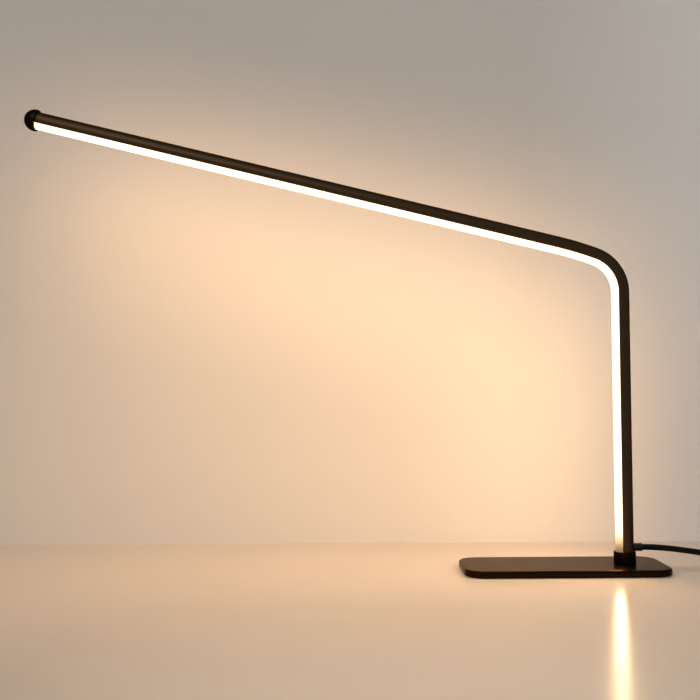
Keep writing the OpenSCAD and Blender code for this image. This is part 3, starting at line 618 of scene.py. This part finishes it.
# The base is a steel plate, 6.7 mm thick, with round corners and a rounded top edge, sprayed
# with a fine matte black powder coat. It weighs the lamp down.
def slab(name, centre, half_l, half_w, corner, profile, finish):
    """A plate: its outline, a rounded rectangle, is drawn in by each (inset, height) of the
    profile in turn, and both ends of the profile are closed by one flat face."""
    points, least_corner = 128, 0.0002
    rows = []
    for inset, height in profile:
        round_off = max(corner - inset, least_corner)
        loop = rounded_loop(half_l - inset, half_w - inset, round_off, points)
        heights = np.full((points, 1), height)
        rows.append(np.concatenate([loop + np.asarray(centre), heights], axis=1))
    return surface(name, rows, finish, crease=40, caps=True)


def powder_finish(name, dark, light):
    """Powder coat with a metallic pigment: an orange peel of soft dimples 1 to 2 mm across and a
    fine grit. Its gloss turns brown towards the edge of sight."""
    edge = (0.68, 0.62, 0.58, 1.0)
    finish, shader, shade, place = new_finish(name, metallic=1.0, specular_tint=edge)
    peel = shade.noise(place, 700, 2, 0.4)
    grit = shade.noise(place, 4200, 2)
    cloud = shade.noise(place, 22, 3)
    feed(
        shader,
        base_color=shade.blended((cloud * 0.7 + grit * 0.3).held(), dark, light),
        roughness=0.24 + cloud * 0.05 + grit * 0.06,
        normal=shade.bump(peel + grit * 0.35, 0.00005, 0.35),
    )
    return finish


powder_black = powder_finish("powder_black", (0.014, 0.007, 0.003), (0.024, 0.013, 0.006))
base_centre, base_half_l, base_half_w, base_corner = (-0.067, 0), 0.109, 0.045, 0.021
pad_t, plate_top, plate_edge = 0.0008, 0.0075, 0.002
quarter = np.linspace(0, np.pi / 2, 9)
plate_profile = [
    (0.0006, pad_t), (0.0003, pad_t + 0.0001), (0.0001, pad_t + 0.0003), (0, pad_t + 0.0006),
]
plate_profile += [
    (plate_edge * (1 - np.cos(a)), plate_top - plate_edge * (1 - np.sin(a))) for a in quarter
]
plate_profile += [(0.003, plate_top), (0.012, plate_top), (0.03, plate_top)]
plate = slab(
    "plate", base_centre, base_half_l, base_half_w, base_corner, plate_profile, powder_black
)
fitted(plate, "base", "plate_paint", "base_plate")


# A black rubber pad, cut from ground rubber sheet, is glued under the plate and keeps it from
# sliding. It is set in by 3 mm, so that only its shadow shows.
def rubber_finish(name):
    """Ground rubber sheet: crumbs under 1 mm across in two near blacks, with a matte surface."""
    finish, shader, shade, place = new_finish(name)
    crumbs = shade.node("ShaderNodeTexVoronoi", {}, {"Vector": place, "Scale": 1500.0}, 1)
    crumb_height = shade.node("ShaderNodeRGBToBW", {}, {0: crumbs})
    skin = shade.noise(place, 900, 3)
    feed(
        shader,
        base_color=shade.blended(skin, (0.014, 0.014, 0.014), (0.034, 0.033, 0.032)),
        roughness=0.8 + skin * 0.12,
        normal=shade.bump(crumb_height + skin, 0.00012, 0.6),
    )
    return finish


pad_inset = 0.003
pad_profile = [(0.0002, 0), (0, 0.0002), (0, pad_t)]
pad = slab(
    "foot_pad", base_centre, base_half_l - pad_inset, base_half_w - pad_inset,
    base_corner - pad_inset, pad_profile, rubber_finish("pad_rubber"),
)
fitted(pad, "base", "pad_rubber", "base_pad")


# The collar is a short turned socket, screwed into the plate. The post stands in it on a
# plastic bush and turns about the bolt in its middle.
def anodised_finish(name, dark, light, edge, low, high, stretch, from_map=None):
    """Black anodised aluminium: an etched grain of about 0.2 mm with faint draw or tool marks,
    longer where stretch is small. It lies on the Object coordinates or on the piece's own map."""
    finish, shader, shade, place = new_finish(name, metallic=1.0, specular_tint=(*edge, 1.0))
    if from_map:
        place = shade.node("ShaderNodeUVMap", {"uv_map": from_map}, {})
    marks = shade.noise(shade.stretched(place, stretch), 700, 3, 0.6)
    etch = shade.noise(place, 5200, 2)
    cloud = shade.noise(place, 35, 2)
    feed(
        shader,
        base_color=shade.blended((cloud * 0.5 + marks * 0.5).held(), dark, light),
        roughness=low + (marks * 0.5 + cloud * 0.5) * (high - low),
        normal=shade.bump(etch * 0.6 + marks * 0.5, 0.00003, 0.4),
    )
    return finish


turned_black = anodised_finish(
    "turned_black", (0.012, 0.009, 0.006), (0.024, 0.018, 0.013), (0.5, 0.45, 0.4), 0.26, 0.4,
    (0.2, 0.2, 3),
)
collar_bore, collar_r, collar_top = 0.009575, 0.0117, 0.0201
floor_bottom, floor_top, bush_r, spigot_r = 0.0050, 0.0090, 0.00405, 0.010
collar_profile = eased(
    [
        (bush_r, floor_bottom), (spigot_r, floor_bottom), (spigot_r, plate_top),
        (collar_r, plate_top), (collar_r, collar_top), (collar_bore, collar_top),
        (collar_bore, floor_top), (bush_r, floor_top),
    ],
    [0, 0.0003, 0, 0.0003, 0.0005, 0.0003, 0, 0],
)
socket = turned("socket", collar_profile, turned_black, sides=96)
fitted(socket, "base", "black_anodised", "collar")
slide_white = moulded_finish(
    "slide_white", (0.62, 0.6, 0.52), (0.72, 0.7, 0.63), 1200, 0.00003, 0.35, 0.45
)
milled_aluminium = metal_finish(
    "milled_aluminium", (0.68, 0.69, 0.7), (0.82, 0.83, 0.84), 0.28, 0.42, (1, 1, 6)
)
brass_yellow = metal_finish(
    "brass_yellow", (0.62, 0.47, 0.2), (0.8, 0.65, 0.34), 0.25, 0.38, (5, 1, 1)
)
given(slide_white, "pivot_bush", "slide_washer")
given(zinc_steel, "stop_pin", "pivot_bolt", "disc_spring", "foot_screws", "cord_stop")
given(milled_aluminium, "post_foot")
given(brass_yellow, "grip_nut")

# The tube is one aluminium channel, 19 mm round outside, open by 131 degrees on its inner
# side. It is bent once, then anodised black, with the draw marks running along it. The tool
# turned it by 70 degrees, and it sprang back over a length of arm, which keeps a faint curve.
elbow = np.array([0, 0, 0.3355])
arm_angle, tight_angle = np.radians(76.1618), np.radians(69.78)
tight_r, faint_r = 0.04197, 0.4


def outwards(angle):
    """The direction at this angle above +X."""
    return np.stack([np.cos(angle), 0 * angle, np.sin(angle)], axis=-1)


arm_way = outwards(arm_angle + np.pi / 2)
arm_out = outwards(arm_angle)
tight_out = outwards(tight_angle)
turned_by = tight_r * (tight_out - outwards(0)) + faint_r * (arm_out - tight_out)
bend_setback = turned_by[0] / arm_way[0]
post_top = elbow[2] + bend_setback * arm_way[2] - turned_by[2]
tight_centre = np.array([-tight_r, 0, post_top])
faint_centre = tight_centre + (tight_r - faint_r) * tight_out
tube_r, inner_r, lip_r = 0.0095, 0.0083, 0.0075
slot_p = tube_r * np.cos(np.radians(65.5))
arm_length, tube_in_cap = 0.6685, 0.008
tube_end = arm_length - tube_in_cap


def tube_line(bottom, end):
    """The tube's middle: up the post, round a tight arc and then a faint one, and out along the
    arm. Gives its points, the direction away from the bend's middle, and the distance along it."""
    post = np.linspace(bottom, post_top, 61)[:-1]
    tight = np.linspace(0, tight_angle, 57)
    faint = np.linspace(tight_angle, arm_angle, 25)[1:]
    arm = np.linspace(bend_setback, end, 121)[1:]
    out = outwards(np.concatenate([0 * post, tight, faint, 0 * arm + arm_angle]))
    points = np.concatenate([
        post[:, None] * (0, 0, 1),
        tight_centre + tight_r * outwards(tight),
        faint_centre + faint_r * outwards(faint),
        elbow + arm[:, None] * arm_way,
    ])
    distance = np.concatenate([[0], np.cumsum(np.linalg.norm(np.diff(points, axis=0), axis=1))])
    return points, out, distance


def drawn(name, section, bottom, end, finish):
    """A profile drawn along the tube: a section point (p, q) goes to the middle line + p outwards
    + q across. The UV map has the way round the section and the way along the tube, in metres."""
    points, out, distance = tube_line(bottom, end)
    across = np.array([0, 1.0, 0])
    rows = points[:, None] + section[None, :, :1] * out[:, None] + section[None, :, 1:] * across
    count, ring = rows.shape[:2]
    girth = np.linalg.norm(np.diff(np.concatenate([section, section[:1]]), axis=0), axis=1)
    around = np.concatenate([[0], np.cumsum(girth)])
    i, k = np.arange(count - 1)[:, None], np.arange(ring)[None, :]
    here, there, turn = i * ring, (i + 1) * ring, (k + 1) % ring
    quads = np.stack([here + k, there + k, there + turn, here + turn], axis=-1)
    last = (count - 1) * ring
    mesh = bpy.data.meshes.new(name)
    caps = [list(range(ring)), list(range(last, last + ring))[::-1]]
    faces = quads.reshape(-1, 4).tolist() + caps
    mesh.from_pydata(rows.reshape(-1, 3).tolist(), [], faces)
    i, k = np.broadcast_arrays(i, k)
    u = np.stack([around[k], around[k], around[k + 1], around[k + 1]], axis=-1)
    v = np.stack([distance[i], distance[i + 1], distance[i + 1], distance[i]], axis=-1)
    corners = np.stack([u, v], axis=-1).reshape(-1, 2)
    ends = np.stack([around[:-1], np.zeros(ring)], axis=1)
    corners = np.concatenate([corners, ends, ends[::-1] + (0, distance[-1])])
    mesh.uv_layers.new(name="along").data.foreach_set("uv", corners.ravel())
    mesh.shade_smooth()
    mesh.set_sharp_from_angle(angle=np.radians(30))
    mesh.materials.append(finish)
    piece = bpy.data.objects.new(name, mesh)
    bpy.context.scene.collection.objects.link(piece)
    return piece


def arc(radius, first, last, count, centre=(0, 0)):
    """Points on a circle round the centre, from the first angle to the last."""
    angle = np.linspace(first, last, count)
    return np.asarray(centre) + radius * np.stack([np.cos(angle), np.sin(angle)], axis=1)


def corner_arc(line, edge, away):
    """The fillet of radius edge between the round outside and a flat at p = line. away is 1
    where the material lies outwards from the flat. Gives it and the angle where it starts."""
    p = line + away * edge
    q = np.sqrt((tube_r - edge) ** 2 - p**2)
    start = np.arctan2(q, p)
    return arc(edge, start, np.pi if away > 0 else 0, 6, (p, q)), start


lip_t, lip_q = 0.0009, np.sqrt(lip_r**2 - slot_p**2)
lip_back = lip_t - slot_p
channel_corner, channel_start = corner_arc(-slot_p, 0.0003, 1)
half_channel = np.concatenate([
    arc(tube_r, 0, channel_start, 60),
    channel_corner[1:],
    [(-slot_p, lip_q), (lip_back, lip_q), (lip_back, np.sqrt(inner_r**2 - lip_back**2))],
    arc(inner_r, np.arccos(lip_back / inner_r), 0, 50)[1:-1],
])
other_half = (half_channel[1:] * (1, -1))[::-1]
channel_section = np.concatenate([half_channel, [(inner_r, 0)], other_half])
# Painted light: the channel's black is made lighter and warmer than the collar's and cap's, for the
# strip's glow that falls on it.
glow_lit_anodised = anodised_finish(
    "glow_lit_anodised", (0.074, 0.044, 0.023), (0.110, 0.070, 0.040), (0.25, 0.20, 0.15),
    0.32, 0.44, (1, 0.03, 1), "along",
)
bush_flange_t, slide_gap, channel_lift = 0.00085, 0.00005, 0.0002
channel_bottom = floor_top + bush_flange_t + slide_gap + channel_lift
channel = drawn("tube_channel", channel_section, channel_bottom, tube_end, glow_lit_anodised)
fitted(channel, "arm", "black_anodised", "bent_channel")


# The diffuser is one extruded strip of opal silicone, 1.6 mm thick, whose two legs snap
# behind the channel's lips. It glows warm white, and fades above the collar, where no chips sit.
def opal_finish(name, strength):
    """Opal silicone lit from behind: full light along the strip, which falls off and turns tan
    over the last 31 mm above the collar."""
    fade_start, fade_l = 0.019, 0.031
    finish, shader, shade, place = new_finish(name, roughness=0.42, emission_strength=strength)
    height = shade.coordinate(place, 2)
    milk = shade.noise(place, 260, 2)
    falls = [
        (0.00, (0.013, 0.006, 0.001)), (0.13, (0.045, 0.020, 0.004)), (0.20, (0.110, 0.058, 0.013)),
        (0.27, (0.180, 0.105, 0.034)), (0.34, (0.250, 0.180, 0.080)), (0.42, (0.310, 0.245, 0.130)),
        (0.50, (0.410, 0.300, 0.190)), (0.60, (0.560, 0.400, 0.270)), (0.75, (0.850, 0.650, 0.390)),
        (1.00, (1.000, 0.790, 0.490)),
    ]
    above = (height - fade_start) / fade_l
    glow = shade.node("ShaderNodeValToRGB", {"stops": falls}, {0: above})
    feed(
        shader,
        base_color=shade.blended(milk, (0.64, 0.50, 0.36), (0.72, 0.58, 0.42)),
        emission_color=glow,
        normal=shade.bump(milk, 0.00003, 0.3),
    )
    return finish


diffuser_fit, shell_t, leg_t = 0.00005, 0.0016, 0.0009
diffuser_edge, leg_q = -slot_p - diffuser_fit, lip_q - diffuser_fit
barb_l, barb_step, behind_lip = 0.001, 0.0004, 0.0001
barb_start = lip_back + behind_lip
leg_end, leg_root = barb_start + barb_l, diffuser_edge - 0.001
diffuser_corner, diffuser_start = corner_arc(diffuser_edge, 0.00025, -1)
shell_r, shell_foot = tube_r - shell_t, diffuser_edge - 0.0022
half_diffuser = np.concatenate([
    arc(tube_r, np.pi, diffuser_start, 40),
    diffuser_corner[1:],
    [
        (diffuser_edge, leg_q), (barb_start, leg_q), (barb_start, leg_q + barb_step),
        (leg_end, leg_q), (leg_end, leg_q - leg_t), (leg_root, leg_q - leg_t),
    ],
    arc(shell_r, np.arctan2(leg_q - leg_t, shell_foot), np.pi, 30)[:-1],
])
other_half = (half_diffuser[1:] * (1, -1))[::-1]
diffuser_section = np.concatenate([half_diffuser, [(-shell_r, 0)], other_half])
diffuser_bottom = 0.0193
opal = opal_finish("opal_lit", 2.2)
light_strip = drawn("light_strip", diffuser_section, diffuser_bottom, tube_end, opal)
fitted(light_strip, "arm", "opal_silicone", "diffuser")


def flat_lamp(name, size, power, colour, place, side, back):
    """A flat lamp at the place. The first of its two sizes lies along side, and it shines away
    from back."""
    lamp = bpy.data.lights.new(name, "AREA")
    lamp.shape = "RECTANGLE"
    lamp.size, lamp.size_y = size
    lamp.energy = power
    lamp.color = colour
    placed = np.eye(4)
    placed[:3, :] = np.stack([side, np.cross(back, side), back, place], axis=1)
    holder = bpy.data.objects.new(name, lamp)
    holder.matrix_world = Matrix(placed.tolist())
    bpy.context.scene.collection.objects.link(holder)
    return holder


def strip_lamp(name, centre, along, out, lean, length, radiance):
    """One of the three long flat lamps that give the light of a straight stretch of the strip,
    just off the opal. It is turned by the lean from the strip's middle, to the front or the back,
    and rides with the arm. It shows only in gloss, as the streak on the table."""
    width, clear = 0.0075, 0.0006
    faces = -np.cos(lean) * np.asarray(out) + np.sin(lean) * np.array([0, 1, 0])
    power = radiance * np.pi * length * width
    spot = np.asarray(centre) + faces * (tube_r + clear)
    holder = flat_lamp(name, (length, width), power, (1.0, 0.62, 0.32), spot, along, -faces)
    holder.visible_camera = False
    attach(holder, "arm")


lit_foot = 0.026
post_middle, arm_middle = (0, 0, (lit_foot + post_top) / 2), (tube_end + bend_setback) / 2
stretches = (
    ("post", post_middle, (0, 0, 1), (1, 0, 0), post_top - lit_foot),
    ("arm", elbow + arm_way * arm_middle, arm_way, arm_out, tube_end - bend_setback),
)
for face, lean, radiance in (("front", -48, 42), ("middle", 0, 11), ("back", 48, 42)):
    for stretch, middle, along, out, length in stretches:
        name = stretch + "_light_" + face
        strip_lamp(name, middle, along, out, np.radians(lean), length, radiance)


# Behind the diffuser a white LED strip lies on the channel's shelf, with small packages
# 16.5 mm apart.
def film_finish(name):
    """White coverlay film with faint copper tracks under it."""
    finish, shader, shade, place = new_finish(name)
    tracks = shade.noise(shade.stretched(place, (1, 6, 0.3)), 120, 1)
    feed(
        shader,
        base_color=shade.blended(tracks, (0.72, 0.71, 0.66), (0.86, 0.86, 0.84)),
        roughness=0.32 + tracks * 0.1,
    )
    return finish


def phosphor_finish(name):
    """Silicone with yellow phosphor, grainy and glossy."""
    finish, shader, shade, place = new_finish(name)
    grain = shade.noise(place, 3500, 2)
    feed(
        shader,
        base_color=shade.blended(grain, (0.86, 0.62, 0.16), (0.95, 0.78, 0.33)),
        roughness=0.2 + grain * 0.15,
    )
    return finish


given(film_finish("strip_white"), "led_strip")
given(phosphor_finish("phosphor"), "led_chips")

# The end cap is turned from aluminium, with a ball end and a short skirt, and anodised black.
# It is pushed over the tube's tip and covers the ends of the channel and the diffuser.
cap_r, cap_skirt, cap_bore_r, cap_bore_end, cap_sag = 0.0118, 0.003, 0.00955, 0.0041, 0.0002
cap_centre = elbow + arm_way * (arm_length - cap_r) - arm_out * cap_sag
cap_dome = arc(cap_r, 0, np.pi / 2, 33)
cap_dome[-1, 0] = 0
cap_rim = eased(
    [(cap_bore_r, cap_bore_end), (cap_bore_r, -cap_skirt), (cap_r, -cap_skirt), (cap_r, 0)],
    [0, 0.0003, 0.0017, 0],
)
cap_profile = np.concatenate([[(0, cap_bore_end)], cap_rim[:-1], cap_dome])
end_ball = turned("end_ball", cap_profile, turned_black, cap_centre, arm_way, 96)
fitted(end_ball, "arm", "black_anodised", "end_cap")


# The lamp stands on a pale, faintly glossy table top in front of a plain painted wall, which
# shows from its front side alone.
def table_finish(name, colour, painted_light_colour):
    """Satin lacquer with painted light: a little paler at the table's near side, in front
    of the lamp, in a band that fades with the square of the way aside."""
    band_x, band_half_w, near_y, near_l = -0.25, 0.28, -0.18, 0.235
    finish, shader, shade, place = new_finish(name, roughness=0.2, specular_ior_level=0.04)
    cloud = shade.noise(place, 3, 2)
    lacquer = shade.blended(cloud, colour, tuple(c * 1.03 for c in colour))
    aside = (shade.coordinate(place, 0) - band_x) / band_half_w
    # Painted light: the table is paler in front of the lamp, as if more light pooled there.
    nearness = ((near_y - shade.coordinate(place, 1)) / near_l).held()
    near = nearness * (1 - aside * aside).held()
    feed(shader, base_color=shade.blended(near, lacquer, painted_light_colour))
    return finish


def wall_finish(name, colour, painted_foot_light, painted_right_light):
    """Matte emulsion with painted light, paler towards the wall's foot and right of the post. It is
    seen from the front, and its back lets everything through."""
    foot_z, foot_l, right_x, right_l = 0.36, 0.26, -0.06, 0.2
    finish, shader, shade, place = new_finish(name, roughness=0.9)
    cloud = shade.noise(place, 2.5, 2)
    paint = shade.blended(cloud, colour, tuple(c * 1.02 for c in colour))
    # Painted light: the wall is paler towards its foot and to the right of the post, as if more
    # light fell there.
    foot_light_mask = ((foot_z - shade.coordinate(place, 2)) / foot_l).held()
    right_light_mask = ((shade.coordinate(place, 0) - right_x) / right_l).held()
    paler = shade.blended(foot_light_mask, paint, painted_foot_light)
    feed(shader, base_color=shade.blended(right_light_mask, paler, painted_right_light))
    behind = shade.node("ShaderNodeNewGeometry", {}, {}, "Backfacing")
    clear = shade.node("ShaderNodeBsdfTransparent", {}, {})
    front = Shade(finish.node_tree, shader.outputs[0])
    both = shade.node("ShaderNodeMixShader", {}, {0: behind, 1: front, 2: clear})
    surface_in = finish.node_tree.nodes["Material Output"].inputs[0]
    finish.node_tree.links.new(both.socket, surface_in)
    return finish


def sheet_of(name, corners, finish):
    """One flat face of the stage."""
    mesh = bpy.data.meshes.new(name)
    mesh.from_pydata(corners, [], [(0, 1, 2, 3)])
    mesh.materials.append(finish)
    piece = bpy.data.objects.new(name, mesh)
    bpy.context.scene.collection.objects.link(piece)


wall_y, reach = 0.195, 6.0
sheet_of(
    "table_top",
    [(-reach, -reach, 0), (reach, -reach, 0), (reach, reach, 0), (-reach, reach, 0)],
    table_finish("table_lacquer", (0.75, 0.66, 0.57), (0.97, 0.86, 0.74)),
)
sheet_of(
    "wall",
    [(-reach, wall_y, 0), (reach, wall_y, 0), (reach, wall_y, reach), (-reach, wall_y, reach)],
    wall_finish("wall_paint", (0.84, 0.81, 0.775), (0.96, 0.91, 0.84), (0.995, 0.975, 0.95)),
)


# Plain soft light: an even pale world and two large soft boxes, one above and in front, and
# one at the right, which cools the wall beyond the post and shows in no gloss.
def soft_box(name, place, towards, size, power, colour):
    """A square lamp at the place that faces the point towards."""
    back = np.subtract(place, towards)
    back /= np.linalg.norm(back)
    side = np.cross((0, 0, 1), back)
    side /= np.linalg.norm(side)
    return flat_lamp(name, (size, size), power, colour, place, side, back)


soft_box("box_above", (-0.9, -1.6, 1.7), (-0.3, 0, 0.2), 1.4, 6.0, (1.0, 0.97, 0.93))
right_box = soft_box("box_right", (1.3, -0.9, 0.7), (0, 0, 0.25), 0.8, 3.4, (0.84, 0.92, 1.0))
right_box.visible_glossy = False
world = bpy.data.worlds.new("room")
world.use_nodes = True
background = world.node_tree.nodes["Background"]
background.inputs["Color"].default_value = (1.0, 0.97, 0.94, 1)
background.inputs["Strength"].default_value = 0.25
bpy.context.scene.world = world
